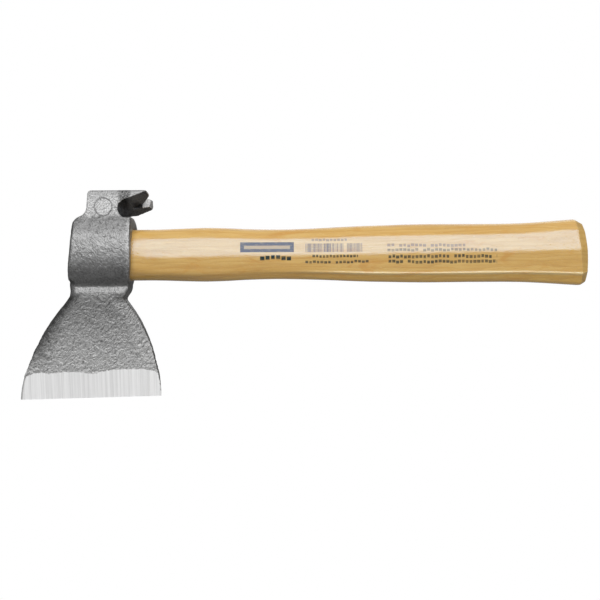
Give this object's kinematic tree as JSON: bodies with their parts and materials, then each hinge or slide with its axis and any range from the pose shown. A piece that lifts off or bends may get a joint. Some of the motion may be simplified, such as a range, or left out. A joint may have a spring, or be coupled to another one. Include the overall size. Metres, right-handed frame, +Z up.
{
  "type": "roofing hatchet",
  "caption": "Short roofing hatchet with a forged steel head carrying a flared blade, a flat poll and a twisted nail claw, on a wooden handle fixed with wedges in the eye",
  "frame": {"origin": "on the handle axis, in the plane of the end face of the eye that looks along the grip", "axes": "+X along the handle towards the butt, +Z up through the poll so the cutting edge is at -Z, +Y across the head so the claw's underside rolls up towards -Y"},
  "size_m": [0.3128, 0.032, 0.1149],
  "materials": {
    "forged_steel": "forged steel under clear lacquer, scale-pitted, bright ground bevel",
    "varnished_wood": "golden varnished hardwood, fine straight grain along the handle",
    "wedge_wood": "unvarnished hardwood",
    "wedge_steel": "plain rolled steel, driven flush"
  },
  "bodies": {
    "root": {"head": "forged_steel", "handle": "varnished_wood", "wood_wedge": "wedge_wood", "steel_wedges": "wedge_steel"}
  },
  "joints": []
}
